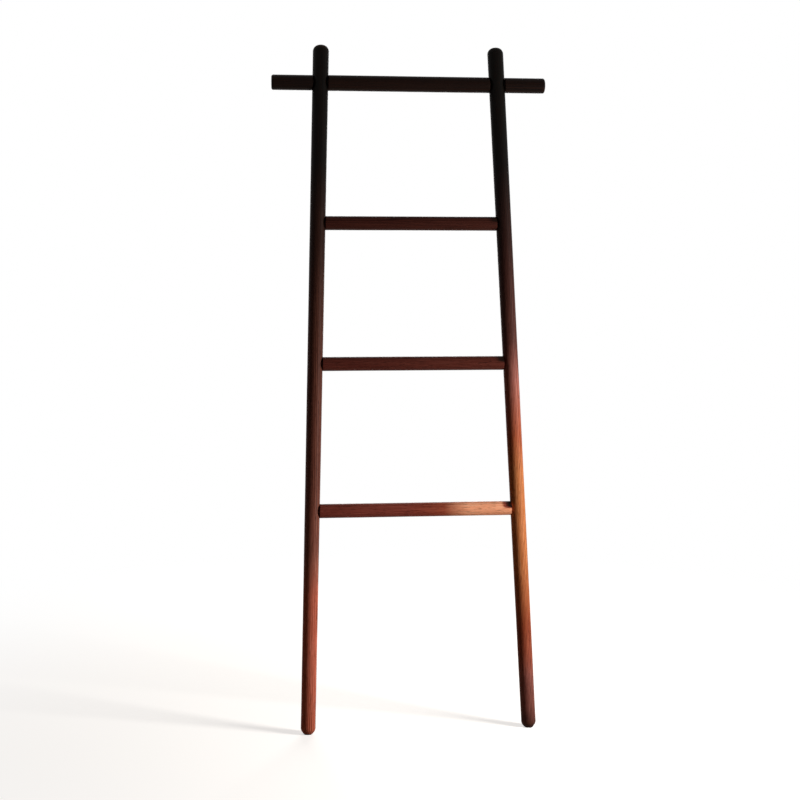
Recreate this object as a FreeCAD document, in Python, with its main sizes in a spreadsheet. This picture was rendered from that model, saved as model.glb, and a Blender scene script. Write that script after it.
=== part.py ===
import FreeCAD, Part
import Sketcher
import os

# Blanket ladder of round poles, leaning on a wall.
#
# Row frame: +Z up, floor at Z = 0, X along the rungs, the wall on the +Y side. The origin lies on
# the floor, midway between the rails and midway between the front of the feet and the wall.
#
# Ladder frame, in which the wooden pieces are worked out: the ladder stands upright on the foot line,
# X along the rungs, Y towards the back and Z along the ladder. Each wooden piece is then leaned back
# by its Placement.

DOC = FreeCAD.newDocument("blanket_ladder")

# Driving dimensions, in millimetres and degrees.
SIZES = [
    ("lean_angle", 8, "backward lean from upright"),
    ("ladder_length", 1696, "floor to the rails' tips, along the ladder's middle line"),
    ("rail_tip_diameter", 40.5, "rail at its tip"),
    ("rail_foot_diameter", 36, "rail just above the foot chamfer"),
    ("tip_rounding", 16, "round-over radius of a rail's tip"),
    ("foot_chamfer_length", 10, "chamfer of a rail's foot, along the rail"),
    ("foot_end_diameter", 21, "rail where the chamfer runs out, before the foot is sawn level"),
    ("foot_rounding", 14, "round-over between chamfer and rail"),
    ("foot_spacing", 543, "rail centre to rail centre, at the floor"),
    ("bar_spacing", 445, "rail centre to rail centre, at the top bar"),
    ("bar_drop", 95, "rails' tips to top bar, along the ladder"),
    ("upper_gap", 352, "top bar to upper rung, centre to centre"),
    ("middle_gap", 350, "upper rung to middle rung, centre to centre"),
    ("lower_gap", 361, "middle rung to lower rung, centre to centre"),
    ("rung_diameter", 35, "rung"),
    ("rung_tenon_diameter", 20, "turned tenon on each rung's end"),
    ("rung_tenon_reach", 9, "rung's tenon past the rail's axis"),
    ("bar_diameter", 39, "top bar between the rails"),
    ("bar_length", 688, "end to end, with both bar ends"),
    ("bar_end_diameter", 37.5, "bar end outside a rail"),
    ("bar_end_rounding", 5, "round-over of a bar end's outer edge"),
    ("bar_tenon_diameter", 20, "top bar's through tenon"),
    ("bar_tenon_reach", 80, "top bar's tenon past the rail's axis, into the bar end"),
    ("peg_diameter", 6, "wooden peg"),
    ("peg_depth", 31, "peg from the crest of the pole it is driven into"),
    ("end_peg_offset", 52, "peg of a bar end, out from the rail's axis"),
    ("foot_pad_diameter", 20, "rubber foot disc"),
    ("foot_pad_height", 2, "rubber foot disc"),
    ("wall_pad_diameter", 16, "rubber wall bumper"),
    ("wall_pad_height", 6.5, "rubber wall bumper, seat to face"),
    ("wall_pad_proud", 3.5, "wall bumper's face beyond the crest of the rail"),
    ("wall_pad_drop", 30, "wall bumper below the tip, along the ladder"),
    ("pad_rounding", 0.8, "round-over of a rubber disc's outer edge"),
    ("stem_diameter", 6, "stem of a rubber pad"),
    ("stem_length", 12, "stem of a rubber pad"),
    ("shoulder_rounding", 2.5, "round-over of a square shoulder's edge"),
    ("shoulder_clearance", 0.25, "between a shoulder and the rail, where they are nearest"),
    ("glue_clearance", 0.15, "round a tenon, on the radius"),
    ("peg_clearance", 0.1, "round a peg or stem, on the radius"),
    ("end_clearance", 1, "beyond the end of a tenon, peg or stem"),
    ("seat_clearance", 0.3, "round a wall bumper in its seat, on the radius"),
]

# Places worked out from the driving dimensions. Names on the left are used by the pieces below.
PLACES = [
    ("bar_height", "sizes.ladder_length - sizes.bar_drop"),
    ("upper_rung_height", "bar_height - sizes.upper_gap"),
    ("middle_rung_height", "upper_rung_height - sizes.middle_gap"),
    ("lower_rung_height", "middle_rung_height - sizes.lower_gap"),
    ("splay", "atan((sizes.foot_spacing - sizes.bar_spacing) / 2 / bar_height)"),
    ("rail_length", "sizes.ladder_length / cos(splay)"),
    ("lower_rung_half", "sizes.foot_spacing / 2 - lower_rung_height * tan(splay)"),
    ("middle_rung_half", "sizes.foot_spacing / 2 - middle_rung_height * tan(splay)"),
    ("upper_rung_half", "sizes.foot_spacing / 2 - upper_rung_height * tan(splay)"),
    ("bar_half", "sizes.bar_spacing / 2"),
    ("rail_taper", "(sizes.rail_tip_diameter - sizes.rail_foot_diameter) / 2"
                   " / (rail_length - sizes.foot_chamfer_length)"),
    ("rail_radius_at_pad", "sizes.rail_tip_diameter / 2 - sizes.wall_pad_drop * rail_taper"),
    ("foot_pad_up", "sizes.foot_pad_height / cos(sizes.lean_angle)"),
    ("foot_pad_half", "sizes.foot_spacing / 2 - foot_pad_up * tan(splay)"),
    ("foot_pad_back", "foot_pad_up * sin(sizes.lean_angle)"),
    ("wall_pad_up", "sizes.ladder_length - sizes.wall_pad_drop"),
    ("wall_pad_half", "sizes.foot_spacing / 2 - wall_pad_up * tan(splay)"),
    ("wall_pad_crest", "wall_pad_up * sin(sizes.lean_angle) + rail_radius_at_pad / cos(sizes.lean_angle)"),
    ("wall_plane", "wall_pad_crest + sizes.wall_pad_proud"),
    ("foot_slope", "cos(splay) * sin(sizes.lean_angle)"),
    ("foot_bend", "atan((sizes.rail_foot_diameter - sizes.foot_end_diameter) / 2"
                  " / sizes.foot_chamfer_length)"),
    ("foot_round_up", "sizes.foot_chamfer_length + sizes.foot_rounding * tan(foot_bend / 2)"),
    ("foot_front", "(sizes.rail_foot_diameter / 2 - sizes.foot_rounding) * sqrt(1 - foot_slope ^ 2)"
                   " + sizes.foot_rounding - foot_round_up * foot_slope"),
    ("origin_back", "(wall_plane - foot_front) / 2"),
]

SIDES = {"left": -1, "right": 1}


def make_sheet(name, rows):
    """A sheet with one named value per row: name, value, and what it is."""
    sheet = DOC.addObject("Spreadsheet::Sheet", name)
    for number, row in enumerate(rows, start=1):
        sheet.set(f"A{number}", row[0])
        sheet.set(f"B{number}", str(row[1]))
        sheet.setAlias(f"B{number}", row[0])
        if len(row) > 2:
            sheet.set(f"C{number}", row[2])
    return sheet


def value(expression):
    """The number that an expression gives now."""
    result = DOC.sizes.evalExpression(expression)
    return float(getattr(result, "Value", result))


# Frames, as expressions that a Placement is bound to.

def shift(across, back, up):
    return f"placement(vector({across}; {back}; {up}); rotation(vector(0; 0; 1); 0))"


def turn(axis, angle):
    return f"placement(vector(0; 0; 0); rotation(vector({axis}); {angle}))"


ABOUT_X = "1; 0; 0"
ABOUT_Y = "0; 1; 0"
TO_ORIGIN = shift("0", "-places.origin_back", "0")
LEANED = TO_ORIGIN + " * " + turn(ABOUT_X, "-sizes.lean_angle")
# Turns a place given upright in the room into the ladder frame.
FROM_ROOM = turn(ABOUT_X, "sizes.lean_angle")


def place(piece, *steps):
    piece.setExpression("Placement", " * ".join(steps))


def rail_frame(side):
    """On a rail's axis at the floor, Z up the rail."""
    foot = shift(f"{SIDES[side]} * sizes.foot_spacing / 2", "0", "0")
    return foot + " * " + turn(ABOUT_Y, f"{-SIDES[side]} * places.splay")


def rail_crest(height):
    """A rail's radius at a height along the ladder."""
    return f"(sizes.rail_foot_diameter / 2 + ({height} - sizes.foot_chamfer_length) * places.rail_taper)"


# Solids of revolution, drawn as a closed outline of (radius, height) corners.

def origin_plane(body, role):
    return next(item for item in body.Origin.OriginFeatures if item.Role == role)


def outline_sketch(body, corners):
    sketch = body.newObject("Sketcher::SketchObject", body.Name + "_outline")
    sketch.AttachmentSupport = (origin_plane(body, "XZ_Plane"), "")
    sketch.MapMode = "FlatFace"
    points = [FreeCAD.Vector(value(radius), value(height), 0) for radius, height in corners]
    count = len(points)
    for number, start in enumerate(points):
        sketch.addGeometry(Part.LineSegment(start, points[(number + 1) % count]), False)
    for number in range(count):
        after = (number + 1) % count
        sketch.addConstraint(Sketcher.Constraint("Coincident", number, 2, after, 1))
    for number, (radius, height) in enumerate(corners):
        bind_coordinate(sketch, "DistanceX", number, radius)
        bind_coordinate(sketch, "DistanceY", number, height)
    return sketch


def bind_coordinate(sketch, kind, line, expression):
    """Hold a line's start on the sketch's axis, or at a distance that follows the expression."""
    # Constraints number the sketch's own X axis -1 and Y axis -2, and a line's start point 1.
    if expression == "0":
        axis = -2 if kind == "DistanceX" else -1
        sketch.addConstraint(Sketcher.Constraint("PointOnObject", line, 1, axis))
        return
    number = sketch.addConstraint(Sketcher.Constraint(kind, -1, 1, line, 1, value(expression)))
    sketch.setExpression(f"Constraints[{number}]", expression)


def turned_body(name, corners, roundings):
    """Revolve the outline about Z, then round the circular edges at the given (radius, height)."""
    body = DOC.addObject("PartDesign::Body", name)
    sketch = outline_sketch(body, corners)
    solid = body.newObject("PartDesign::Revolution", name + "_turned")
    solid.Profile = sketch
    solid.ReferenceAxis = (sketch, ["V_Axis"])
    solid.Angle = 360
    DOC.recompute()
    for number, (radius, height, rounding) in enumerate(roundings, start=1):
        edge = circle_edge(solid.Shape, value(radius), value(height))
        rounded = body.newObject("PartDesign::Fillet", f"{name}_rounding_{number}")
        rounded.Base = (solid, [edge])
        rounded.setExpression("Radius", rounding)
        DOC.recompute()
        solid = rounded
    body.Tip = solid
    return body


def circle_edge(shape, radius, height):
    """The name of the circular edge of that radius at that height."""
    close = 0.01
    for number, edge in enumerate(shape.Edges, start=1):
        curve = edge.Curve
        if not isinstance(curve, Part.Circle):
            continue
        if abs(curve.Radius - radius) < close and abs(curve.Center.z - height) < close:
            return f"Edge{number}"
    raise ValueError(f"no circular edge of radius {radius} at {height}")


# Primitives and booleans.

def cylinder(name, radius, length, *steps):
    solid = DOC.addObject("Part::Cylinder", name)
    solid.setExpression("Radius", radius)
    solid.setExpression("Height", length)
    place(solid, *steps)
    return solid


def crosswise(name, radius, half_length, height):
    """A cylinder along X, centred on the ladder's middle line."""
    return cylinder(name, radius, f"2 * ({half_length})",
                    shift(f"-({half_length})", "0", height), turn(ABOUT_Y, "90"))


def from_behind(name, radius, across, crest, depth, height):
    """A cylinder driven in from the back, from outside the crest to a depth under it."""
    outside = "sizes.peg_diameter"
    return cylinder(name, radius, f"{depth} + {outside}",
                    shift(across, f"{crest} - ({depth})", height), turn(ABOUT_X, "-90"))


def group(name, members):
    tools = DOC.addObject("Part::Compound", name)
    tools.Links = members
    return tools


def boolean(kind, name, base, tool):
    """One solid from two: a Cut or Common."""
    solid = DOC.addObject("Part::" + kind, name)
    solid.Base = base
    solid.Tool = tool
    return solid


# Levels of the four cross pieces: half the rail spacing there, and the height along the ladder.
LEVELS = {
    "lower": ("places.lower_rung_half", "places.lower_rung_height"),
    "middle": ("places.middle_rung_half", "places.middle_rung_height"),
    "upper": ("places.upper_rung_half", "places.upper_rung_height"),
    "top": ("places.bar_half", "places.bar_height"),
}


def rail_blank(side):
    """A tapered pole with a domed tip and a chamfered foot, in the ladder frame."""
    corners = [
        ("0", "0"),
        ("sizes.foot_end_diameter / 2", "0"),
        ("sizes.rail_foot_diameter / 2", "sizes.foot_chamfer_length"),
        ("sizes.rail_tip_diameter / 2", "places.rail_length"),
        ("0", "places.rail_length"),
    ]
    roundings = [
        ("sizes.rail_foot_diameter / 2", "sizes.foot_chamfer_length", "sizes.foot_rounding"),
        ("sizes.rail_tip_diameter / 2", "places.rail_length", "sizes.tip_rounding"),
    ]
    blank = turned_body(f"{side}_rail_blank", corners, roundings)
    place(blank, rail_frame(side))
    return blank


def rail_side(height, outwards):
    """From the middle line to a rail's inner (-) or outer (+) side, at a height along the ladder."""
    axis = f"(sizes.foot_spacing / 2 - {height} * tan(places.splay))"
    return f"({axis} {outwards} {rail_crest(height)} / cos(places.splay))"


def inner_shoulder(level):
    """From the middle line to a cross piece's shoulders.

    The rails lean together, so they stand closest at the top of the piece.
    """
    kind = "bar" if level == "top" else "rung"
    top_side = f"({LEVELS[level][1]} + sizes.{kind}_diameter / 2)"
    return f"({rail_side(top_side, '-')} - sizes.shoulder_clearance)"


def outer_shoulder():
    """From the middle line to a bar end's shoulder.

    The rails spread downwards, so they reach furthest out at the underside of the bar.
    """
    underside = "(places.bar_height - sizes.bar_end_diameter / 2)"
    return f"({rail_side(underside, '+')} + sizes.shoulder_clearance)"


def mortise(level):
    """The bore for a cross piece's tenons, through or into both rails."""
    half, height = LEVELS[level]
    kind = "bar" if level == "top" else "rung"
    return crosswise(f"{level}_mortise", f"sizes.{kind}_tenon_diameter / 2 + sizes.glue_clearance",
                     f"{half} + sizes.{kind}_tenon_reach + sizes.end_clearance", height)


def peg_pair(name, across, crest, height, pole):
    """A peg trimmed flush with its pole, and the hole it is driven into."""
    peg_rod = from_behind(name + "_rod", "sizes.peg_diameter / 2", across, crest, "sizes.peg_depth", height)
    hole = from_behind(name + "_hole", "sizes.peg_diameter / 2 + sizes.peg_clearance", across, crest,
                       "sizes.peg_depth + sizes.end_clearance", height)
    return boolean("Common", name, peg_rod, pole), hole


def foot_cutters(side):
    """The level saw cut under a foot, and the hole for the pad's stem above it."""
    sign = SIDES[side]
    block = DOC.addObject("Part::Box", f"{side}_foot_saw_cut")
    for edge in ("Length", "Width"):
        block.setExpression(edge, "2 * sizes.rail_foot_diameter")
    block.setExpression("Height", "sizes.rail_foot_diameter")
    place(block, FROM_ROOM, shift(f"{sign} * places.foot_pad_half - sizes.rail_foot_diameter",
                                  "places.foot_pad_back - sizes.rail_foot_diameter",
                                  "sizes.foot_pad_height - sizes.rail_foot_diameter"))
    hole = cylinder(f"{side}_foot_stem_hole", "sizes.stem_diameter / 2 + sizes.peg_clearance",
                    "sizes.foot_pad_height + sizes.stem_length + sizes.end_clearance",
                    FROM_ROOM, shift(f"{sign} * places.foot_pad_half", "places.foot_pad_back", "0"))
    return [block, hole]


def wall_frame(side, back):
    """Behind a rail's tip, at a distance back from the foot line, Z towards the wall."""
    centre = shift(f"{SIDES[side]} * places.wall_pad_half", back, "places.wall_pad_up * cos(sizes.lean_angle)")
    return centre + " * " + turn(ABOUT_X, "-90")


def wall_cutters(side):
    """The flat seat of a wall bumper, and the hole for its stem."""
    seat = cylinder(f"{side}_wall_seat", "sizes.wall_pad_diameter / 2 + sizes.seat_clearance",
                    "sizes.wall_pad_height",
                    FROM_ROOM, wall_frame(side, "places.wall_plane - sizes.wall_pad_height"))
    depth = "sizes.wall_pad_height + sizes.stem_length + sizes.end_clearance"
    hole = cylinder(f"{side}_wall_stem_hole", "sizes.stem_diameter / 2 + sizes.peg_clearance", depth,
                    FROM_ROOM, wall_frame(side, f"places.wall_plane - ({depth})"))
    return [seat, hole]


def bar_end_blank(side):
    """A short pole outside a rail, with a square shoulder and both edges softened."""
    shoulder = outer_shoulder()
    length = f"(sizes.bar_length / 2 - {shoulder})"
    corners = [
        ("0", "0"),
        ("sizes.bar_end_diameter / 2", "0"),
        ("sizes.bar_end_diameter / 2", length),
        ("0", length),
    ]
    roundings = [
        ("sizes.bar_end_diameter / 2", "0", "sizes.shoulder_rounding"),
        ("sizes.bar_end_diameter / 2", length, "sizes.bar_end_rounding"),
    ]
    blank = turned_body(f"{side}_bar_end_blank", corners, roundings)
    place(blank, shift(f"{SIDES[side]} * {shoulder}", "0", "places.bar_height"),
          turn(ABOUT_Y, f"{SIDES[side]} * 90"))
    return blank


def cross_piece(name, level, peg_holes):
    """A rung or the bar, turned in one piece: a pole with square shoulders and a tenon on each end."""
    half, height = LEVELS[level]
    kind = "bar" if level == "top" else "rung"
    pole = f"sizes.{kind}_diameter / 2"
    tenon = f"sizes.{kind}_tenon_diameter / 2"
    tip = f"({half} + sizes.{kind}_tenon_reach)"
    near = f"({tip} - {inner_shoulder(level)})"
    far = f"({tip} + {inner_shoulder(level)})"
    corners = [
        ("0", "0"),
        (tenon, "0"),
        (tenon, near),
        (pole, near),
        (pole, far),
        (tenon, far),
        (tenon, f"2 * {tip}"),
        ("0", f"2 * {tip}"),
    ]
    roundings = [
        (pole, near, "sizes.shoulder_rounding"),
        (pole, far, "sizes.shoulder_rounding"),
    ]
    blank = turned_body(name + "_blank", corners, roundings)
    place(blank, shift(f"-{tip}", "0", height), turn(ABOUT_Y, "90"))
    return boolean("Cut", name, blank, group(name + "_peg_holes", peg_holes))


def pad(name, diameter, thickness, *steps):
    """A rubber disc with a stem: its face at Z = 0 and its stem towards +Z."""
    corners = [
        ("0", "0"),
        (f"{diameter} / 2", "0"),
        (f"{diameter} / 2", thickness),
        ("sizes.stem_diameter / 2", thickness),
        ("sizes.stem_diameter / 2", f"{thickness} + sizes.stem_length"),
        ("0", f"{thickness} + sizes.stem_length"),
    ]
    body = turned_body(name, corners, [(f"{diameter} / 2", "0", "sizes.pad_rounding")])
    place(body, TO_ORIGIN, *steps)
    return body


def foot_pad(side):
    return pad(f"{side}_foot_pad", "sizes.foot_pad_diameter", "sizes.foot_pad_height",
               shift(f"{SIDES[side]} * places.foot_pad_half", "places.foot_pad_back", "0"))


def wall_pad(side):
    return pad(f"{side}_wall_pad", "sizes.wall_pad_diameter", "sizes.wall_pad_height",
               wall_frame(side, "places.wall_plane"), turn(ABOUT_X, "180"))


def make_ladder():
    """Every sub-part of the ladder, in its place."""
    blanks = {side: rail_blank(side) for side in SIDES}
    mortises = {level: mortise(level) for level in LEVELS}
    wooden = []
    holes_at = {level: [] for level in LEVELS}

    for side, sign in SIDES.items():
        rail_holes = []
        for level, (half, height) in LEVELS.items():
            peg, hole = peg_pair(f"{level}_{side}_peg", f"{sign} * {half}", rail_crest(height),
                                 height, blanks[side])
            wooden.append(peg)
            holes_at[level].append(hole)
            rail_holes.append(hole)
        cutters = list(mortises.values()) + rail_holes + foot_cutters(side) + wall_cutters(side)
        cutters = group(f"{side}_rail_cutters", cutters)
        wooden.append(boolean("Cut", f"{side}_rail", blanks[side], cutters))

        end_blank = bar_end_blank(side)
        peg, hole = peg_pair(f"{side}_end_peg", f"{sign} * (places.bar_half + sizes.end_peg_offset)",
                             "sizes.bar_end_diameter / 2", "places.bar_height", end_blank)
        wooden.append(peg)
        holes_at["top"].append(hole)
        end_cutters = group(f"{side}_bar_end_cutters", [mortises["top"], hole])
        wooden.append(boolean("Cut", f"{side}_bar_end", end_blank, end_cutters))

    wooden.append(cross_piece("top_bar", "top", holes_at["top"]))
    for level in ("upper", "middle", "lower"):
        wooden.append(cross_piece(f"{level}_rung", level, holes_at[level]))
    for piece in wooden:
        place(piece, LEANED)

    pads = [make(side) for side in SIDES for make in (foot_pad, wall_pad)]
    return wooden + pads


def check(pieces):
    """Stop if any object failed, or a sub-part isn't one valid solid."""
    for item in DOC.Objects:
        if "Invalid" in item.State or "Error" in item.State:
            raise RuntimeError(f"{item.Name} failed: {item.State}")
    for piece in pieces:
        shape = piece.Shape
        if shape.isNull() or not shape.isValid() or len(shape.Solids) != 1:
            raise RuntimeError(f"{piece.Name} isn't one valid solid")
    for piece in pieces:
        if piece.TypeId == "Part::Cut" and piece.Shape.Volume >= piece.Base.Shape.Volume:
            raise RuntimeError(f"{piece.Name}: nothing was cut away")


def export(pieces):
    os.makedirs("parts", exist_ok=True)
    for piece in pieces:
        piece.Shape.exportStep(f"parts/{piece.Label}.step")
        print(f"{piece.Label}: {piece.Shape.Volume / 1000:.2f} cm3")


make_sheet("sizes", SIZES)
make_sheet("places", [(name, "=" + formula) for name, formula in PLACES])
DOC.recompute()
SUBPARTS = make_ladder()
DOC.recompute()
check(SUBPARTS)
export(SUBPARTS)
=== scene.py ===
import math

import bpy
import numpy as np
from mathutils import Matrix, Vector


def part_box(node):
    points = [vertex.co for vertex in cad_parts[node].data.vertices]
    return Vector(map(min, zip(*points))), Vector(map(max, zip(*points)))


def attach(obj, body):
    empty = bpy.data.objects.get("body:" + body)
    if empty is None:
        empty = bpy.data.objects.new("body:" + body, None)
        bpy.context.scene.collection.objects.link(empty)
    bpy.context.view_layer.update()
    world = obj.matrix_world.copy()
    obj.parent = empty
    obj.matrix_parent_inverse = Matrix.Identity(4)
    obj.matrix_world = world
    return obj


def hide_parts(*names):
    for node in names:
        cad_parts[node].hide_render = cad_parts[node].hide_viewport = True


# Blanket ladder of round, oiled rosewood poles. Lengths are in metres and angles in degrees.
# Ladder frame: the ladder upright on its foot line, X along the rungs, Y to the back, Z up the rails.
# Row frame: the same ladder leaned back, with the origin on the floor in the middle of its depth.

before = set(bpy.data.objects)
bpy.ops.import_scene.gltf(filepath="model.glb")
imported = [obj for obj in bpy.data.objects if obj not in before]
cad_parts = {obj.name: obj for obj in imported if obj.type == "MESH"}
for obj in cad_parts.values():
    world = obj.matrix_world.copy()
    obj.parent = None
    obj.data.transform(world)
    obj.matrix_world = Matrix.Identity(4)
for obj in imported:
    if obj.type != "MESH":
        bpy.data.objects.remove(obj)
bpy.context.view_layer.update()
dice = np.random.default_rng(7)

sides = {"left": -1, "right": 1}
hair = 0.0001                # a tenth of a millimetre, for telling rows of a profile apart
crispEdge = 32               # edges that turn by more than this many degrees stay crisp

ladder = {
    "lean": 8,
    "length": 1.696,         # floor to tips, along the ladder
    "footSpacing": 0.543,    # rail centres at the floor
    "barSpacing": 0.445,     # rail centres at the top bar
    "barDrop": 0.095,        # tips down to the top bar
    "gaps": {"upper": 0.352, "middle": 0.350, "lower": 0.361},  # each rung below the one above it
}

barHeight = ladder["length"] - ladder["barDrop"]
heights = {"top": barHeight}
for level, gap in ladder["gaps"].items():
    heights[level] = list(heights.values())[-1] - gap

lean = math.radians(ladder["lean"])
splay = math.atan((ladder["footSpacing"] - ladder["barSpacing"]) / 2 / barHeight)
halves = {}                  # from the middle line to a rail's axis, at each rung and the bar
for level, height in heights.items():
    halves[level] = ladder["footSpacing"] / 2 - height * math.tan(splay)

leaning = np.array([[1, 0, 0],
                    [0, math.cos(lean), math.sin(lean)],
                    [0, -math.sin(lean), math.cos(lean)]])

across, back, up = np.eye(3)


def unit(vector):
    return vector / np.linalg.norm(vector)


# Two directions square to the axis and to each other: first x second = axis. The helper is any
# direction well away from the axis.
def sideways(axis):
    helper = back if abs(axis @ back) < 0.9 else up
    first = unit(np.cross(helper, axis))
    return first, np.cross(axis, first)


# Unit vectors round the axis: first cos(angle) + second sin(angle).
def spokes(axis, segments):
    first, second = sideways(axis)
    angle = np.linspace(0, 2 * math.pi, segments, endpoint=False)
    return np.outer(np.cos(angle), first) + np.outer(np.sin(angle), second)


# A profile with its corners rounded: each corner (radius, along, rounding) becomes the arc that
# touches both of its edges, centred on their bisector, in so many steps.
def softened(corners, steps=8):
    points = []
    for number, (radius, along, rounding) in enumerate(corners):
        here = np.array([radius, along])
        if rounding == 0:
            points.append(here[None])
            continue
        before = unit(np.array(corners[number - 1][:2]) - here)
        after = unit(np.array(corners[number + 1][:2]) - here)
        half = math.acos(np.clip(before @ after, -1, 1)) / 2
        centre = here + unit(before + after) * rounding / math.sin(half)
        start = here + before * rounding / math.tan(half) - centre
        end = here + after * rounding / math.tan(half) - centre
        share = np.linspace(0, 1, steps + 1)[:, None]
        turn = math.pi - 2 * half
        arc = (start * np.sin((1 - share) * turn) + end * np.sin(share * turn)) / math.sin(turn)
        points.append(centre + arc)
    return np.concatenate(points)


# The same profile with rows added, so that no stretch of it is longer than given.
def spread(profile, longest):
    rows = [profile[:1]]
    for start, end in zip(profile[:-1], profile[1:]):
        count = max(1, math.ceil(np.linalg.norm(end - start) / longest))
        rows.append(start + (end - start) * (np.arange(1, count + 1) / count)[:, None])
    return np.concatenate(rows)


# Closed skin over rings: point = origin + axis * along + spoke * radius, both (ring, segment) arrays.
# The first and last ring are single points on the axis.
def ringMesh(name, origin, axis, radius, along, leaned=True):
    rings, segments = along.shape
    around = spokes(axis, segments)
    points = origin + along[..., None] * axis + radius[..., None] * around
    inner = points[1:-1].reshape(-1, 3)
    points = np.concatenate([points[0, :1], inner, points[-1, :1]])
    if leaned:
        points = points @ leaning.T
    points = points + np.array([0, footLine if leaned else 0, 0])
    index = 1 + np.arange((rings - 2) * segments).reshape(rings - 2, segments)
    after = np.roll(index, -1, axis=1)
    quads = np.stack([index[:-1], after[:-1], after[1:], index[1:]], axis=-1).reshape(-1, 4)
    last = len(points) - 1
    bottom = np.stack([np.zeros_like(index[0]), after[0], index[0]], axis=-1)
    top = np.stack([np.full_like(index[-1], last), index[-1], after[-1]], axis=-1)
    mesh = bpy.data.meshes.new(name)
    mesh.from_pydata(points.tolist(), [], quads.tolist() + bottom.tolist() + top.tolist())
    mesh.validate()
    piece = bpy.data.objects.new(name, mesh)
    bpy.context.scene.collection.objects.link(piece)
    return piece


# The same profile of (radius, along) rows at every segment: two (ring, segment) arrays.
def allRound(profile, segments):
    return np.repeat(profile[:, :1], segments, axis=1), np.repeat(profile[:, 1:], segments, axis=1)


# A piece turned on the lathe: the same profile all the way round.
def turned(name, origin, axis, profile, segments, leaned=True):
    return ringMesh(name, origin, axis, *allRound(profile, segments), leaned)


# A plain rod from the origin along the axis, closed at both ends.
def rod(name, origin, axis, radius, length, leaned=True, segments=48):
    profile = np.array([(0, 0), (radius, 0), (radius, length), (0, length)])
    return turned(name, origin, axis, profile, segments, leaned)


# How far each start inside the pole travels before it leaves the pole's skin: the farther root of
# |distance from the pole's axis| = radius + taper * height.
def leavePole(starts, direction, pole):
    away = starts - pole["base"]
    height = away @ pole["axis"]
    rise = direction @ pole["axis"]
    radius = pole["radius"] + pole["taper"] * height
    a = 1 - rise ** 2 - (pole["taper"] * rise) ** 2
    b = away @ direction - height * rise - pole["taper"] * rise * radius
    c = (away ** 2).sum(-1) - height ** 2 - radius ** 2
    return (-b + np.sqrt(b ** 2 - a * c)) / a


lathe = {
    "inset": 0.00015,        # the poles' skin stands this far inside their full size
    "depth": 0.00012,
    # how much of the depth each wave has, its length, and its turns round the pole on the way
    "waves": ((0.5, 0.31, 1), (0.3, 0.17, -2), (0.2, 0.083, 0)),
}


# The lathe's faint waves, only inwards: the inset, and sines along and round the pole, added.
def waver(radius, along, strength=1):
    angle = np.linspace(0, 2 * math.pi, along.shape[1], endpoint=False)
    phases = dice.uniform(0, 2 * math.pi, len(lathe["waves"]))
    wave = sum(share * np.sin(along * 2 * math.pi / length + turns * angle + phase)
               for (share, length, turns), phase in zip(lathe["waves"], phases))
    return radius - lathe["inset"] - lathe["depth"] * strength * (0.5 + 0.5 * wave)


# Cuts the tools out of the piece, one after another, and deletes them.
def drill(piece, tools):
    for tool in tools:
        cut = piece.modifiers.new("cut", "BOOLEAN")
        cut.operation = "DIFFERENCE"
        cut.solver = "MANIFOLD"
        cut.object = tool
    seen = piece.evaluated_get(bpy.context.evaluated_depsgraph_get())
    whole = bpy.data.meshes.new_from_object(seen)
    whole.name = piece.name
    piece.modifiers.clear()
    piece.data = whole
    for tool in tools:
        bpy.data.objects.remove(tool)


def finishPiece(piece, node, material):
    piece.data.shade_smooth()
    piece.data.set_sharp_from_angle(angle=math.radians(crispEdge))
    piece.data.materials.clear()
    piece.data.materials.append(material)
    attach(piece, "root")
    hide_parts(node)


# Writes the piece's own wood coordinates and shades to attributes: grain = place across, across and
# along the pole, shifted at random; endGrain = how squarely the skin cuts the grain; the tone paints
# light and shade along the pole, from painted shade (black) through a painted sheen (rose) and the
# wood's own red to painted light (gold), and is darkened on top, near the given place, by a painted
# shadow of the rail; wear = nearness to the given places along it.
def grainOf(piece, origin, axis, lightAndShadeTones, wearAt=(), wearWidth=0.006, paintedShadowAt=None):
    mesh = piece.data
    points = np.empty(len(mesh.vertices) * 3)
    mesh.vertices.foreach_get("co", points)
    normals = np.empty(len(mesh.vertices) * 3)
    mesh.vertex_normals.foreach_get("vector", normals)
    axisRow = leaning @ axis
    first, second = (leaning @ way for way in sideways(axis))
    place = points.reshape(-1, 3) - (leaning @ origin + np.array([0, footLine, 0]))
    along = place @ axisRow
    shift = np.array([dice.uniform(*span) for span in rosewood["sawnFrom"]])
    grain = np.stack([place @ first, place @ second, along], axis=-1) + shift
    endGrain = np.interp(np.abs(normals.reshape(-1, 3) @ axisRow), rosewood["endGrainAt"], (0, 1))
    lightAndShadeTone = np.interp(along, *zip(*lightAndShadeTones))
    # A painted shadow: the tone darkened on upward faces near the given place along the pole.
    if paintedShadowAt is not None:
        topness = np.interp(normals.reshape(-1, 3)[:, 2], rosewood["paintedShadowSlope"], (0, 1))
        nearness = np.clip(1 - (paintedShadowAt - along) / rosewood["paintedShadowLength"], 0, 1)
        lightAndShadeTone = lightAndShadeTone * np.clip(1 - rosewood["paintedShadowStrength"] * topness * nearness, 0, 1)
    wear = np.zeros(len(along))
    for spot in wearAt:
        wear = np.maximum(wear, np.exp(-((along - spot) / wearWidth) ** 2))
    for label, kind, values in (("grain", "FLOAT_VECTOR", grain), ("endGrain", "FLOAT", endGrain),
                                ("lightAndShadeTone", "FLOAT", lightAndShadeTone), ("wear", "FLOAT", wear)):
        layer = mesh.attributes.new(label, kind, "POINT")
        layer.data.foreach_set("vector" if kind == "FLOAT_VECTOR" else "value", values.ravel())


# sRGB hex to the linear colour that a shader takes.
def toLinear(colour):
    parts = [int(colour[i:i + 2], 16) / 255 for i in (1, 3, 5)]
    return [p / 12.92 if p <= 0.04045 else ((p + 0.055) / 1.055) ** 2.4 for p in parts] + [1]


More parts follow.
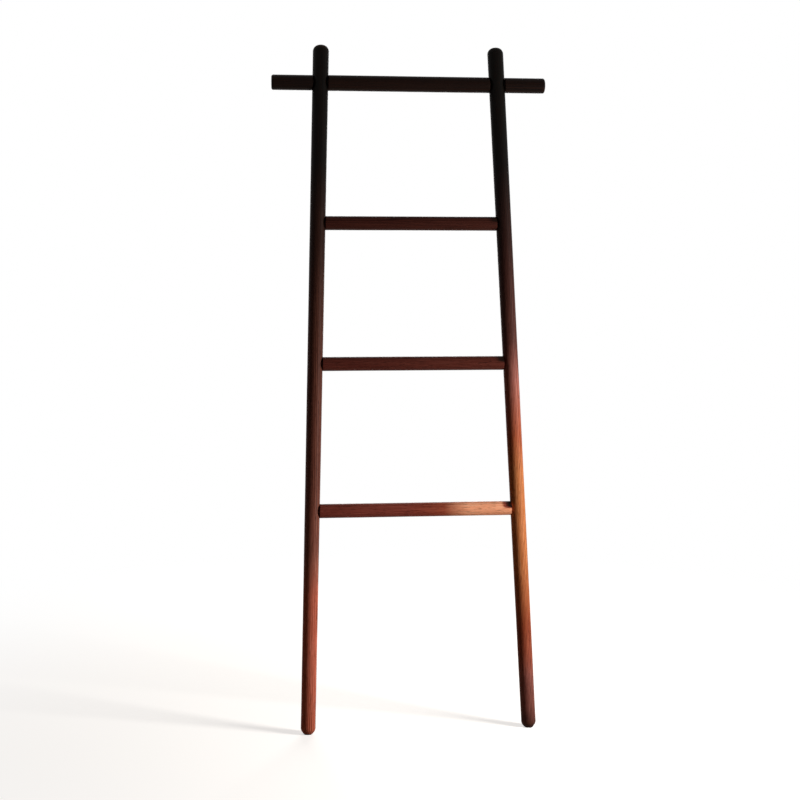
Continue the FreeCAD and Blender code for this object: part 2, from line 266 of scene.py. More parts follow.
# Adds a node, with its settings, its colour stops, and its inputs as values or as linked outputs.
def addNode(tree, kind, inputs=None, stops=None, **settings):
    node = tree.nodes.new(kind)
    for name, setting in settings.items():
        setattr(node, name, setting)
    if stops:
        ramp = node.color_ramp.elements
        while len(ramp) < len(stops):
            ramp.new(0.5)
        for element, (position, colour) in zip(ramp, stops):
            element.position = position
            element.color = toLinear(colour)
    for name, source in (inputs or {}).items():
        if isinstance(source, bpy.types.NodeSocket):
            tree.links.new(source, node.inputs[name])
        else:
            node.inputs[name].default_value = source
    return node


# One colour at factor 0, the other at factor 1, and their weighted mean between. The mix node's
# sockets for colours are its inputs 6 and 7 and its output 2.
def mixColours(tree, factor, first, second):
    return addNode(tree, "ShaderNodeMix", {"Factor": factor, 6: first, 7: second},
                   data_type="RGBA").outputs[2]


def newMaterial(name):
    material = bpy.data.materials.new(name)
    material.use_nodes = True
    material.node_tree.nodes.clear()
    return material, material.node_tree


# Oiled rosewood, turned and rubbed: straight brown-black growth lines, long fine fibres, short open
# pores, and a satin sheen that is duller in the pores and on end grain. Its colour runs from nearly
# black through rose and red-brown to golden brown, by the tone that each point of a piece carries: the
# red-brown is the wood's own, the black is painted shade, the rose a painted sheen and the gold painted
# light. Each palette has its darkest lines first and its palest fibres last.
rosewood = {
    # Palettes by tone: painted shade, painted sheen, the wood's own red, painted light.
    "paintedShadeBlack": [(0.36, "#070302"), (0.52, "#0d0604"), (0.64, "#150a06"), (0.82, "#24110b")],      # tone 0
    "paintedSheenRose": [(0.36, "#47211d"), (0.52, "#703b33"), (0.64, "#8e5248"), (0.82, "#ac7064")],       # tone 1
    "red": [(0.36, "#49190d"), (0.52, "#76321d"), (0.64, "#95472d"), (0.82, "#b26241")],        # tone 2
    "paintedLightGold": [(0.36, "#7c3a18"), (0.52, "#ad632f"), (0.64, "#cb8048"), (0.82, "#e2a26e")],       # tone 3
    "pore": "#180a06",
    "rubbed": "#a5673f",
    "sawnFrom": ((0.03, 0.07), (-0.05, 0.05), (0, 5)),             # where in the trunk, at random
    "ringSpacing": 0.0034,   # growth rings 3.4 mm apart
    "bendWidth": 0.09, "bendLength": 0.62, "bendDepth": 0.03,      # the trunk's slow bends
    "fibreWidth": 0.0011,    # fibre bundles, drawn about three times coarser than real, so as to show
    "fibreStretch": 55, "fibreCrispness": 0.62, "fibreRange": (0.3, 0.7),
    "poreWidth": 0.0009,     # vessels are 0.2 mm wide, drawn coarser too
    "poreStretch": 20, "poreEdge": (0.60, 0.70),
    "cloudWidth": 0.07, "cloudLength": 0.38,
    "ringShare": 0.30, "fibreShare": 0.62, "cloudShare": 0.30,     # of the figure
    "poreDepth": 0.7, "endDepth": 0.45,                            # how dark pores and end grain go
    "endGrainAt": (0.35, 0.85),    # none to full, by how squarely the skin cuts the grain
    "rubbedAt": (0.4, 0.65), "rubbedShare": 0.5, "rubbedInPaintedShade": 0.15,
    # A painted shadow of the rail darkens the wood over a joint: how far, how strongly, and on what
    # slopes.
    "paintedShadowLength": 0.022, "paintedShadowStrength": 2, "paintedShadowSlope": (0.1, 0.45),
    "ior": 1.5,
    "specular": 0.04,        # oil that has sunk in leaves less gloss than the usual 0.5
    "roughness": 0.44, "fibreRoughness": (-0.05, 0.07), "poreRoughness": 0.2, "endRoughness": 0.15,
    "reliefDepth": 0.00012, "reliefStrength": 0.6, "poreRelief": -0.8,
}


def oiledRosewood(name, look):
    material, tree = newMaterial(name)
    grain = addNode(tree, "ShaderNodeAttribute", attribute_name="grain").outputs["Vector"]
    lightAndShadeTone = addNode(tree, "ShaderNodeAttribute", attribute_name="lightAndShadeTone").outputs["Fac"]
    endGrain = addNode(tree, "ShaderNodeAttribute", attribute_name="endGrain").outputs["Fac"]
    wear = addNode(tree, "ShaderNodeAttribute", attribute_name="wear").outputs["Fac"]

    # Growth rings: the distance from the trunk's middle, pushed about by its slow bends.
    bendScale = (1 / look["bendWidth"], 1 / look["bendWidth"], 1 / look["bendLength"])
    bendPlace = addNode(tree, "ShaderNodeMapping", {"Vector": grain, "Scale": bendScale})
    bend = addNode(tree, "ShaderNodeTexNoise", {"Vector": bendPlace.outputs[0], "Scale": 1, "Detail": 2})
    push = addNode(tree, "ShaderNodeVectorMath",
                   {0: bend.outputs["Color"], 1: (look["bendDepth"], look["bendDepth"], 0)},
                   operation="MULTIPLY")
    trunk = addNode(tree, "ShaderNodeVectorMath", {0: grain, 1: push.outputs[0]}, operation="ADD")
    waveScale = 2 * math.pi / 20 / look["ringSpacing"]      # the wave node turns 20 times its scale
    rings = addNode(tree, "ShaderNodeTexWave",
                    {"Vector": trunk.outputs[0], "Distortion": 0, "Scale": waveScale},
                    wave_type="RINGS", rings_direction="Z", wave_profile="SAW")

    # Fibres, pores and clouds: noise drawn out along the pole.
    fibrePlace = addNode(tree, "ShaderNodeMapping",
                         {"Vector": grain, "Scale": (1, 1, 1 / look["fibreStretch"])})
    fibres = addNode(tree, "ShaderNodeTexNoise",
                     {"Vector": fibrePlace.outputs[0], "Detail": 4, "Roughness": look["fibreCrispness"],
                      "Scale": 1 / look["fibreWidth"]}).outputs["Fac"]
    porePlace = addNode(tree, "ShaderNodeMapping",
                        {"Vector": grain, "Scale": (1, 1, 1 / look["poreStretch"])})
    poreField = addNode(tree, "ShaderNodeTexNoise",
                        {"Vector": porePlace.outputs[0], "Detail": 1, "Scale": 1 / look["poreWidth"]})
    pores = addNode(tree, "ShaderNodeMapRange",
                    {"Value": poreField.outputs["Fac"], "From Min": look["poreEdge"][0],
                     "From Max": look["poreEdge"][1]}).outputs[0]
    cloudScale = (1 / look["cloudWidth"], 1 / look["cloudWidth"], 1 / look["cloudLength"])
    cloudPlace = addNode(tree, "ShaderNodeMapping", {"Vector": grain, "Scale": cloudScale})
    clouds = addNode(tree, "ShaderNodeTexNoise",
                     {"Vector": cloudPlace.outputs[0], "Scale": 1, "Detail": 3}).outputs["Fac"]

    # Figure: rings, fibres and clouds added by their shares, then coloured by the four palettes, each
    # of which passes into the next over one step of tone; the tone paints shade, sheen and light over
    # the wood's own red.
    ringPart = addNode(tree, "ShaderNodeMath", {0: rings.outputs["Fac"], 1: look["ringShare"]},
                       operation="MULTIPLY")
    fibrePart = addNode(tree, "ShaderNodeMath",
                        {0: fibres, 1: look["fibreShare"], 2: ringPart.outputs[0]},
                        operation="MULTIPLY_ADD")
    figure = addNode(tree, "ShaderNodeMath", {0: clouds, 1: look["cloudShare"], 2: fibrePart.outputs[0]},
                     operation="MULTIPLY_ADD").outputs[0]
    litAndShadedColour, *paler = [addNode(tree, "ShaderNodeValToRGB", {"Fac": figure}, look[hue]).outputs["Color"]
                     for hue in ("paintedShadeBlack", "paintedSheenRose", "red", "paintedLightGold")]
    for step, palette in enumerate(paler):
        share = addNode(tree, "ShaderNodeMapRange",
                        {"Value": lightAndShadeTone, "From Min": step, "From Max": step + 1})
        litAndShadedColour = mixColours(tree, share.outputs[0], litAndShadedColour, palette)

    # Pores and end grain drink more oil and go dark, and rubbed edges go pale in patches, less so where
    # the tone paints shade.
    poreShare = addNode(tree, "ShaderNodeMath", {0: pores, 1: look["poreDepth"]}, operation="MULTIPLY")
    porous = mixColours(tree, poreShare.outputs[0], litAndShadedColour, toLinear(look["pore"]))
    soaked = addNode(tree, "ShaderNodeMath", {0: endGrain, 1: look["endDepth"]}, operation="MULTIPLY")
    ended = mixColours(tree, soaked.outputs[0], porous, toLinear(look["pore"]))
    patchy = addNode(tree, "ShaderNodeMapRange",
                     {"Value": clouds, "From Min": look["rubbedAt"][0], "From Max": look["rubbedAt"][1],
                      "To Max": look["rubbedShare"]})
    paleness = addNode(tree, "ShaderNodeMapRange",
                       {"Value": lightAndShadeTone, "From Max": 2, "To Min": look["rubbedInPaintedShade"]})
    patches = addNode(tree, "ShaderNodeMath", {0: patchy.outputs[0], 1: paleness.outputs[0]},
                      operation="MULTIPLY")
    rubbing = addNode(tree, "ShaderNodeMath", {0: wear, 1: patches.outputs[0]}, operation="MULTIPLY")
    worn = mixColours(tree, rubbing.outputs[0], ended, toLinear(look["rubbed"]))

    # Dull fibres, duller pores and end grain, and a relief with the fibres up and the pores down.
    dull = addNode(tree, "ShaderNodeMapRange",
                   {"Value": fibres, "From Min": look["fibreRange"][0], "From Max": look["fibreRange"][1],
                    "To Min": look["roughness"] + look["fibreRoughness"][0],
                    "To Max": look["roughness"] + look["fibreRoughness"][1]})
    duller = addNode(tree, "ShaderNodeMath",
                     {0: pores, 1: look["poreRoughness"], 2: dull.outputs[0]},
                     operation="MULTIPLY_ADD")
    dullest = addNode(tree, "ShaderNodeMath",
                      {0: endGrain, 1: look["endRoughness"], 2: duller.outputs[0]},
                      operation="MULTIPLY_ADD")
    relief = addNode(tree, "ShaderNodeMath", {0: pores, 1: look["poreRelief"], 2: fibres},
                     operation="MULTIPLY_ADD")
    bump = addNode(tree, "ShaderNodeBump",
                   {"Height": relief.outputs[0], "Strength": look["reliefStrength"],
                    "Distance": look["reliefDepth"]})
    wood = addNode(tree, "ShaderNodeBsdfPrincipled",
                   {"Base Color": worn, "Roughness": dullest.outputs[0], "Normal": bump.outputs[0],
                    "IOR": look["ior"], "Specular IOR Level": look["specular"]})
    addNode(tree, "ShaderNodeOutputMaterial", {"Surface": wood.outputs[0]})
    return material


# Moulded black rubber: a matte, faintly mottled grey-black with a fine grit.
rubber = {
    "dark": "#100f0f", "pale": "#242322",
    "mottle": 180,           # the mottle's scale: patches of about 5.6 mm
    "grit": 0.0006,          # grains 0.6 mm apart
    "ior": 1.52,
    "roughness": 0.72, "gritRoughness": 0.08,
    "reliefDepth": 0.00006, "reliefStrength": 0.5,
}


def mouldedRubber(name, look):
    material, tree = newMaterial(name)
    place = addNode(tree, "ShaderNodeTexCoord").outputs["Object"]
    grit = addNode(tree, "ShaderNodeTexNoise", {"Vector": place, "Scale": 1 / look["grit"], "Detail": 3})
    mottle = addNode(tree, "ShaderNodeTexNoise", {"Vector": place, "Scale": look["mottle"], "Detail": 2})
    colour = addNode(tree, "ShaderNodeValToRGB", {"Fac": mottle.outputs["Fac"]},
                     [(0.35, look["dark"]), (0.7, look["pale"])])
    matte = addNode(tree, "ShaderNodeMapRange",
                    {"Value": grit.outputs["Fac"],
                     "To Min": look["roughness"] - look["gritRoughness"],
                     "To Max": look["roughness"] + look["gritRoughness"]})
    bump = addNode(tree, "ShaderNodeBump",
                   {"Height": grit.outputs["Fac"], "Strength": look["reliefStrength"],
                    "Distance": look["reliefDepth"]})
    skin = addNode(tree, "ShaderNodeBsdfPrincipled",
                   {"Base Color": colour.outputs[0], "Roughness": matte.outputs[0],
                    "Normal": bump.outputs[0], "IOR": look["ior"]})
    addNode(tree, "ShaderNodeOutputMaterial", {"Surface": skin.outputs[0]})
    return material


# The rails' nearly black palette is blacker still, as painted shade at their tops, and the left one has
# redder palettes for the painted sheen (rose) and the wood's own red.
railPaintedShade = rosewood | {
    "paintedShadeBlack": [(0.36, "#020202"), (0.52, "#050403"), (0.64, "#090604"), (0.82, "#140c08")]}
railWoods = {
    "left": oiledRosewood("oiledRosewoodLeftRail", railPaintedShade | {
        "paintedSheenRose": [(0.36, "#47211a"), (0.52, "#703b2f"), (0.64, "#8e5242"), (0.82, "#ac705c")],
        "red": [(0.36, "#652819"), (0.52, "#964630"), (0.64, "#b75f49"), (0.82, "#d27c67")]}),
    "right": oiledRosewood("oiledRosewoodRightRail", railPaintedShade),
}
# The rungs have finer rings, a browner painted sheen (rose) and a paler painted light (gold).
rungWood = oiledRosewood("oiledRosewoodRungs", rosewood | {
    "ringSpacing": 0.0029,
    "paintedSheenRose": [(0.36, "#461a14"), (0.52, "#6f2e25"), (0.64, "#8c4236"), (0.82, "#a85e50")],
    "red": [(0.36, "#4e1b12"), (0.52, "#7c3423"), (0.64, "#9c4b36"), (0.82, "#ba684e")],
    "paintedLightGold": [(0.36, "#c06e4c"), (0.52, "#ea936b"), (0.64, "#faae86"), (0.82, "#fdcaa8")]})
barWood = oiledRosewood("oiledRosewoodBar", rosewood | {"ringSpacing": 0.0038})
pegWood = oiledRosewood("oiledRosewoodPegs", rosewood | {"ringSpacing": 0.0017, "roughness": 0.5})
padRubber = mouldedRubber("mouldedBlackRubber", rubber)
print("materials ready")


# Rubber discs with a stem each: one under each foot, one behind each tip.
pad = {
    "footDiameter": 0.020, "footHeight": 0.002,
    "wallDiameter": 0.016, "wallHeight": 0.0065,
    "wallDrop": 0.030,       # below the tips, along the ladder
    "rounding": 0.0008,
    "stemDiameter": 0.006, "stemLength": 0.012,
    "segments": 64,
}

footUp = pad["footHeight"] / math.cos(lean)
footPadHalf = ladder["footSpacing"] / 2 - footUp * math.tan(splay)
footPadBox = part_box("left_foot_pad")
footPadY = (footPadBox[0].y + footPadBox[1].y) / 2
footLine = footPadY - footUp * math.sin(lean)     # where the rails' axes meet the floor
wallPadUp = ladder["length"] - pad["wallDrop"]
wallPadHalf = ladder["footSpacing"] / 2 - wallPadUp * math.tan(splay)
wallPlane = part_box("left_wall_pad")[1].y


# In the row frame: the middle of a foot pad on the floor, and of a wall pad on the wall.
def padPlaces(sign):
    return (np.array([sign * footPadHalf, footPadY, 0]),
            np.array([sign * wallPadHalf, wallPlane, wallPadUp * math.cos(lean)]))


# A disc with a rounded outer edge, and its stem.
def padProfile(diameter, height):
    stem = pad["stemDiameter"] / 2
    return softened([(0, 0, 0), (diameter / 2, 0, pad["rounding"]), (diameter / 2, height, 0),
                     (stem, height, 0), (stem, height + pad["stemLength"], 0),
                     (0, height + pad["stemLength"], 0)])


for side, sign in sides.items():
    footPlace, wallPlace = padPlaces(sign)
    foot = turned(f"{side}FootPad", footPlace, up,
                  padProfile(pad["footDiameter"], pad["footHeight"]), pad["segments"], leaned=False)
    finishPiece(foot, f"{side}_foot_pad", padRubber)
    bumper = turned(f"{side}WallPad", wallPlace, -back,
                    padProfile(pad["wallDiameter"], pad["wallHeight"]), pad["segments"], leaned=False)
    finishPiece(bumper, f"{side}_wall_pad", padRubber)
print("rubber pads made")


rail = {
    "tipDiameter": 0.0405, "footDiameter": 0.036,
    "tipRounding": 0.016,
    "chamfer": 0.010, "chamferDiameter": 0.021, "chamferRounding": 0.014,
    "segments": 112, "rowLength": 0.006, "arcRows": 12,
    "footRings": (0, 0.35, 0.7),                     # shares of the sawn foot's radius
    "stillAtFoot": 0.03, "stillAtTip": 0.02, "stirring": 0.02,     # where the lathe's waves come in
    "wearBelowTip": 0.002,
    # The wood's tone by height, painted light and shade: the left rail is red low down under a painted
    # shadow that darkens it from 0.33 up, the right one has painted shade at the very foot and painted
    # light (gold) above it, and both darken to painted shade, nearly black, at the top.
    "lightAndShadeTones": {
        "left": [(0.0, 2.0), (0.33, 2.0), (0.37, 1.4), (0.44, 0.72),
                 (0.85, 0.38), (1.15, 0.11), (1.4, 0.0)],
        "right": [(0.0, 0.14), (0.05, 0.62), (0.12, 0.82), (0.15, 1.4), (0.18, 1.75), (0.4, 2.65),
                  (0.62, 2.65), (0.85, 1.05), (0.95, 0.29), (1.2, 0.09), (1.4, 0.0)],
    },
}

railLength = ladder["length"] / math.cos(splay)
railTaper = (rail["tipDiameter"] - rail["footDiameter"]) / 2 / (railLength - rail["chamfer"])

poles = {}
for side, sign in sides.items():
    poles[side] = {
        "base": across * sign * ladder["footSpacing"] / 2,
        "axis": np.array([-sign * math.sin(splay), 0, math.cos(splay)]),
        "radius": rail["footDiameter"] / 2 - rail["chamfer"] * railTaper,    # at the base
        "taper": railTaper,
    }

joint = {
    "rungTenon": 0.020, "rungReach": 0.009,          # reach: past the rail's axis
    "barTenon": 0.020, "barReach": 0.080,
    "tenonRounding": 0.001,
    "cope": 0.0005,          # how far a shoulder's front and back reach round the rail
    "easing": 0.0004,        # the shoulders' edges, just broken
    # clearances: at a shoulder, round a tenon, round a peg or stem, past an end, round a wall pad
    "shoulder": 0.0001, "glue": 0.00015, "play": 0.0001, "end": 0.001, "seat": 0.0003,
}

# Wooden pegs, driven in from the back: one through each joint, one through each bar end.
peg = {
    "diameter": 0.006,
    "depth": 0.031,          # from the pole's skin
    "endOffset": 0.052,      # in a bar end, out from the rail's axis
    "chamfer": 0.0006,       # of the hidden end
    "trimmedRings": (1, 0.8, 0.4, 0),                # shares of the peg's radius, at the trimmed end
    "segments": 40,
    # mostly the wood's own red, with a fifth of the painted sheen (rose)
    "lightAndShadeTones": [(0.0, 1.8)],
}


# The rail's radius at a height along the ladder.
def crestAt(height):
    return rail["footDiameter"] / 2 + (height - rail["chamfer"]) * railTaper


# From the middle line to a shoulder on a rail's inner (-1) or outer (1) side. It lies flat along the
# rail's side, and hollowed where the rail's crest is: depth = radius - root(radius^2 - place^2).
def shoulderAt(height, place, way):
    radius = crestAt(height)
    hollow = np.minimum(radius - np.sqrt(radius ** 2 - place ** 2), joint["cope"])
    reach = (radius - hollow) / math.cos(splay) + joint["shoulder"]
    return ladder["footSpacing"] / 2 - height * math.tan(splay) + way * reach


# One bore through both rails for a rung's or the bar's tenons, past their ends.
def mortiseTool(level):
    kind = "bar" if level == "top" else "rung"
    reach = halves[level] + joint[kind + "Reach"] + joint["end"]
    return rod("mortise", np.array([-reach, 0, heights[level]]), across,
               joint[kind + "Tenon"] / 2 + joint["glue"], 2 * reach)


# A peg's hole, from past its hidden end to well outside the pole, whose skin is at the crest.
def pegTool(x, crest, height):
    depth = peg["depth"] + joint["end"]
    return rod("pegHole", np.array([x, crest - depth, height]), back,
               peg["diameter"] / 2 + joint["play"], depth + peg["diameter"])


# The hole through a rail and the tenon in it.
def jointPegTool(level, sign):
    return pegTool(sign * halves[level], crestAt(heights[level]), heights[level])


# The hole through a bar end and the tenon in it.
def endPegTool(sign):
    return pegTool(sign * (halves["top"] + peg["endOffset"]), bar["endDiameter"] / 2, barHeight)


# In the row frame: a hole up from the floor, and a flat seat with a hole in from the wall.
def padTools(sign):
    stem = pad["stemDiameter"] / 2 + joint["play"]
    footDepth = pad["footHeight"] + pad["stemLength"] + joint["end"]
    wallDepth = pad["wallHeight"] + pad["stemLength"] + joint["end"]
    footPlace, wallPlace = padPlaces(sign)
    return [
        rod("footHole", footPlace, up, stem, footDepth, leaned=False),
        rod("wallSeat", wallPlace, -back, pad["wallDiameter"] / 2 + joint["seat"],
            pad["wallHeight"], leaned=False),
        rod("wallHole", wallPlace, -back, stem, wallDepth, leaned=False),
    ]


# A tapered pole whose chamfered foot is sawn level: on the chamfer's cone, each row's places along
# the pole are stretched, so that the first row lies in the saw cut and the last one stays.
def makeRail(side, sign):
    pole = poles[side]
    endRadius = rail["chamferDiameter"] / 2
    profile = spread(softened([
        (endRadius, 0, 0),
        (rail["footDiameter"] / 2, rail["chamfer"], rail["chamferRounding"]),
        (rail["tipDiameter"] / 2, railLength, rail["tipRounding"]),
        (0, railLength, 0),
    ], rail["arcRows"]), rail["rowLength"])
    radius, along = allRound(profile, rail["segments"])

    slope = (rail["footDiameter"] / 2 - endRadius) / rail["chamfer"]
    sawNormal = leaning[2]                           # upright in the row frame
    lift = spokes(pole["axis"], rail["segments"]) @ sawNormal
    climb = pole["axis"] @ sawNormal
    sawn = (pad["footHeight"] - endRadius * lift) / (climb + slope * lift)
    bend = math.atan(slope)
    straight = rail["chamfer"] - rail["chamferRounding"] * math.tan(bend / 2) * math.cos(bend)
    onCone = profile[:, 1] < straight + hair         # the rows up to where the rounding begins
    coneTop = profile[onCone, 1].max()
    along[onCone] = sawn + along[onCone] / coneTop * (coneTop - sawn)
    radius[onCone] = endRadius + slope * along[onCone]

    inward = np.minimum(along - rail["stillAtFoot"], railLength - rail["stillAtTip"] - along)
    radius = waver(radius, along, np.clip(inward / rail["stirring"], 0, 1))

    floorRadius = np.array(rail["footRings"])[:, None] * radius[0]
    floorAlong = (pad["footHeight"] - floorRadius * lift) / climb
    radius = np.concatenate([floorRadius, radius])
    along = np.concatenate([floorAlong, along])

    piece = ringMesh(f"{side}Rail", pole["base"], pole["axis"], radius, along)
    tools = [mortiseTool(level) for level in heights]
    tools += [jointPegTool(level, sign) for level in heights]
    drill(piece, tools + padTools(sign))
    grainOf(piece, pole["base"], pole["axis"], rail["lightAndShadeTones"][side],
            [railLength - rail["wearBelowTip"], rail["chamfer"]])
    finishPiece(piece, f"{side}_rail", railWoods[side])


for side, sign in sides.items():
    makeRail(side, sign)
print("rails made")


rung = {
    "diameter": 0.035, "segments": 96, "rowLength": 0.006,
    # The wood's tone, from left to right, by the distance from the middle: painted shade, deeper on the
    # higher rungs, and on the lower rung painted shade at the left turning to painted light (gold) at the
    # right.
    "lightAndShadeTones": {
        "upper": [(-0.2, 0.14), (0.2, 0.14)],
        "middle": [(-0.2, 0.34), (0.2, 0.34)],
        "lower": [(-0.2, 0.72), (-0.02, 1.0), (0.05, 1.7), (0.13, 3.0)],
    },
}
bar = {
    "diameter": 0.039, "segments": 96, "rowLength": 0.006, "arcRows": 10,
    "length": 0.688,         # over both bar ends
    "endDiameter": 0.0375, "endRounding": 0.005,
    "wearFromEnd": 0.001, "wearWidth": 0.004,
    # the whole bar in painted shade, nearly black
    "lightAndShadeTones": [(0.0, 0.0)],
}


# A pole between the rails: from the left a tenon, a flat shoulder, the pole, and the same again. All
# but the tenons is stretched by the share that lays the shoulders against the rails' sides.
def makeCrossPiece(name, level, look, tenon, reach, lightAndShadeTones, material, node):
    origin = up * heights[level]
    pole = look["diameter"] / 2
    tip = halves[level] + reach
    shoulder = shoulderAt(heights[level], 0, -1)
    right = [(pole, shoulder, joint["easing"]), (tenon / 2, shoulder, 0),
             (tenon / 2, tip, joint["tenonRounding"]), (0, tip, 0)]
    left = [(radius, -along, rounding) for radius, along, rounding in reversed(right)]
    profile = spread(softened(left + right), look["rowLength"])
    radius, along = allRound(profile, look["segments"])
    around = spokes(across, look["segments"])
    fitted = shoulderAt(heights[level] + radius * (around @ up), radius * (around @ back), -1)
    between = np.abs(profile[:, 1]) < shoulder + hair
    along[between] *= (fitted / shoulder)[between]
    isPole = profile[:, 0] > tenon / 2 + hair
    radius[isPole] = waver(radius[isPole], along[isPole])

    piece = ringMesh(name, origin, across, radius, along)
    tools = [jointPegTool(level, sign) for sign in sides.values()]
    if level == "top":
        tools += [endPegTool(sign) for sign in sides.values()]
    drill(piece, tools)
    # On top of the piece's right end, next to the right rail, a painted shadow of the rail.
    grainOf(piece, origin, across, lightAndShadeTones, paintedShadowAt=shoulder)
    finishPiece(piece, node, material)


for level, lightAndShadeTones in rung["lightAndShadeTones"].items():
    makeCrossPiece(f"{level}Rung", level, rung, joint["rungTenon"], joint["rungReach"], lightAndShadeTones,
                   rungWood, f"{level}_rung")
makeCrossPiece("topBar", "top", bar, joint["barTenon"], joint["barReach"], bar["lightAndShadeTones"],
               barWood, "top_bar")
print("rungs and top bar made")


# A bored stub outside a rail: the bore from its bottom out, a flat shoulder, the pole and its rounded
# end, stretched back from the end so that the shoulder lies against the rail's side.
def makeBarEnd(side, sign):
    origin = across * sign * halves["top"] + up * barHeight
    axis = across * sign
    pole = bar["endDiameter"] / 2
    bore = joint["barTenon"] / 2 + joint["glue"]
    depth = joint["barReach"] + joint["end"]
    shoulder = shoulderAt(barHeight, 0, 1) - halves["top"]
    length = bar["length"] / 2 - halves["top"]
    profile = spread(softened([
        (0, depth, 0), (bore, depth, 0), (bore, shoulder, 0),
        (pole, shoulder, joint["easing"]), (pole, length, bar["endRounding"]), (0, length, 0),
    ], bar["arcRows"]), bar["rowLength"])
    radius, place = allRound(profile, bar["segments"])
    around = spokes(axis, bar["segments"])
    fitted = shoulderAt(barHeight + radius * (around @ up), radius * (around @ back), 1) - halves["top"]
    along = length - (length - place) * (length - fitted) / (length - shoulder)
    piece = ringMesh(f"{side}BarEnd", origin, axis, radius, along)
    drill(piece, [endPegTool(sign)])
    grainOf(piece, origin, axis, bar["lightAndShadeTones"], [length - bar["wearFromEnd"]], bar["wearWidth"])
    finishPiece(piece, f"{side}_bar_end", barWood)


# A peg from the back, its outer end trimmed to the pole: there each ring's points are where lines
# along the peg leave the pole's skin.
def makePeg(name, node, x, crest, height, pole):
    origin = np.array([x, crest - peg["depth"], height])
    full = peg["diameter"] / 2
    trimmedRadii = full * np.array(peg["trimmedRings"])
    around = spokes(back, peg["segments"])
    trimmed = [leavePole(origin + radius * around, back, pole) for radius in trimmedRadii]
    hidden, start = allRound(np.array([(0, 0), (full - peg["chamfer"], 0), (full, peg["chamfer"])]),
                             peg["segments"])
    radius = np.concatenate([hidden, allRound(trimmedRadii[:, None], peg["segments"])[0]])
    piece = ringMesh(name, origin, back, radius, np.concatenate([start, trimmed]))
    grainOf(piece, origin, back, peg["lightAndShadeTones"])
    finishPiece(piece, node, pegWood)


for side, sign in sides.items():
    makeBarEnd(side, sign)
    for level in heights:
        makePeg(f"{level}{side.title()}Peg", f"{level}_{side}_peg", sign * halves[level],
                crestAt(heights[level]), heights[level], poles[side])
    stub = {"base": across * sign * halves["top"] + up * barHeight, "axis": across * sign,
            "radius": bar["endDiameter"] / 2, "taper": 0}
    makePeg(f"{side}EndPeg", f"{side}_end_peg", sign * (halves["top"] + peg["endOffset"]),
            bar["endDiameter"] / 2, barHeight, stub)
print("bar ends and pegs made")


stage = {
    "floorSize": 9,
    "floorColour": "#8a7a6a",                      # by which the floor lights the object from below
    "floorSeen": "#f6f4f0", "floorLift": 0.58,     # what the camera sees: paler, and lifted to white
    "shadowReach": (0.5, 2.2),                     # the shadows fade to white between these distances
    "fillColour": "#ffc49a", "fill": 0.036,        # the room's light on the object
    "lampColour": "#fffcf8",
    # each lamp's place, size across and up, watts, and what it is aimed at
    "key": ((1.95, -1.1, 0.9), (0.6, 0.8), 66, (0.1, 0, 0.6)),
    "back": ((0.2, 2.6, 1.4), (1.6, 1.6), 40, (0, 0, 0.8)),
}


# 1 where the camera looks, straight or by a mirror or through glass, and 0 for light that falls.
def whiteToCamera(tree):
    path = addNode(tree, "ShaderNodeLightPath").outputs
    either = addNode(tree, "ShaderNodeMath", {0: path["Is Camera Ray"], 1: path["Is Glossy Ray"]},
                     operation="MAXIMUM")
    return addNode(tree, "ShaderNodeMath", {0: either.outputs[0], 1: path["Is Transmission Ray"]},
                   operation="MAXIMUM").outputs[0]


def makeFloor():
    half = stage["floorSize"] / 2
    corners = [(-half, -half, 0), (half, -half, 0), (half, half, 0), (-half, half, 0)]
    mesh = bpy.data.meshes.new("floor")
    mesh.from_pydata(corners, [], [(0, 1, 2, 3)])
    floor = bpy.data.objects.new("floor", mesh)
    bpy.context.scene.collection.objects.link(floor)
    material, tree = newMaterial("paintedFloor")    # pale matte paint, near white to the camera
    seen = whiteToCamera(tree)
    colour = mixColours(tree, seen, toLinear(stage["floorColour"]), toLinear(stage["floorSeen"]))
    chalk = addNode(tree, "ShaderNodeBsdfDiffuse", {"Color": colour})
    lift = addNode(tree, "ShaderNodeMath", {0: seen, 1: stage["floorLift"]}, operation="MULTIPLY")
    glow = addNode(tree, "ShaderNodeEmission", {"Strength": lift.outputs[0]})
    near = addNode(tree, "ShaderNodeAddShader", {0: chalk.outputs[0], 1: glow.outputs[0]})
    white = addNode(tree, "ShaderNodeEmission", {"Strength": 1.0})
    place = addNode(tree, "ShaderNodeTexCoord").outputs["Object"]
    away = addNode(tree, "ShaderNodeVectorMath", {0: place}, operation="LENGTH").outputs["Value"]
    start, end = stage["shadowReach"]
    far = addNode(tree, "ShaderNodeMapRange", {"Value": away, "From Min": start, "From Max": end},
                  interpolation_type="SMOOTHSTEP")
    share = addNode(tree, "ShaderNodeMath", {0: seen, 1: far.outputs[0]}, operation="MULTIPLY")
    both = addNode(tree, "ShaderNodeMixShader", {0: share.outputs[0], 1: near.outputs[0],
                   2: white.outputs[0]})
    addNode(tree, "ShaderNodeOutputMaterial", {"Surface": both.outputs[0]})
    mesh.materials.append(material)


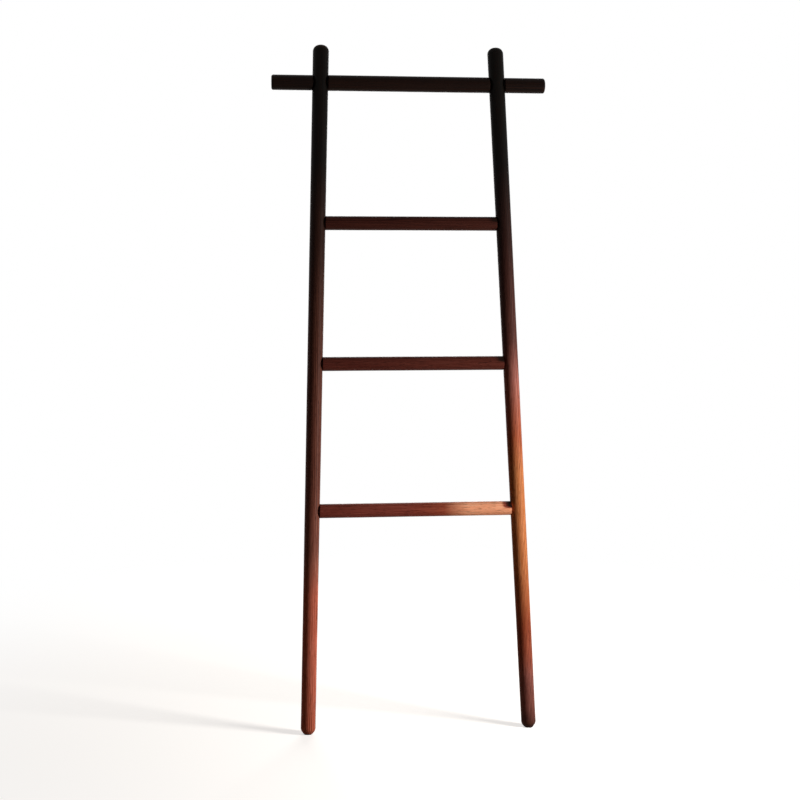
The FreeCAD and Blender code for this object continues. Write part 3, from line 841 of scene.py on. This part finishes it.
def makeWorld():
    world = bpy.data.worlds.new("studio")
    world.use_nodes = True
    tree = world.node_tree
    tree.nodes.clear()
    room = addNode(tree, "ShaderNodeBackground",
                   {"Color": toLinear(stage["fillColour"]), "Strength": stage["fill"]})
    white = addNode(tree, "ShaderNodeBackground", {"Color": (1, 1, 1, 1), "Strength": 1.0})
    both = addNode(tree, "ShaderNodeMixShader", {0: whiteToCamera(tree), 1: room.outputs[0],
                   2: white.outputs[0]})
    addNode(tree, "ShaderNodeOutputWorld", {"Surface": both.outputs[0]})
    bpy.context.scene.world = world


# The direction from the place to the target becomes the thing's own -Z, with its Y upwards.
def aim(thing, place, target):
    towards = unit(np.array(target) - np.array(place))
    right = unit(np.cross(towards, up))
    turn = np.stack([right, np.cross(right, towards), -towards], axis=1)
    thing.matrix_world = Matrix.LocRotScale(place, Matrix(turn), None)


def makeLamp(name, place, size, watts, target):
    light = bpy.data.lights.new(name, "AREA")
    light.shape = "RECTANGLE"
    light.size, light.size_y = size
    light.energy = watts
    light.color = toLinear(stage["lampColour"])[:3]
    lamp = bpy.data.objects.new(name, light)
    lamp.visible_camera = False
    bpy.context.scene.collection.objects.link(lamp)
    aim(lamp, place, target)


camera = {
    "place": (-0.430, footLine - 3.5, 1.097),      # 3.5 m before the foot line, left of the middle
    "yaw": 6.24, "pitch": -4.66,                   # to the right, and down
    "focalPixels": 1475, "framePixels": 800, "sensor": 36,
}


def makeCamera():
    data = bpy.data.cameras.new("camera")
    data.sensor_width = camera["sensor"]
    data.lens = camera["focalPixels"] / camera["framePixels"] * camera["sensor"]
    thing = bpy.data.objects.new("camera", data)
    thing.location = camera["place"]
    thing.rotation_euler = (math.radians(90 + camera["pitch"]), 0, math.radians(-camera["yaw"]))
    bpy.context.scene.collection.objects.link(thing)
    bpy.context.scene.camera = thing


makeFloor()
makeWorld()
makeLamp("keyLamp", *stage["key"])
makeLamp("backLamp", *stage["back"])
makeCamera()
bpy.context.scene.view_settings.view_transform = "Standard"
print("stage, light and camera set")
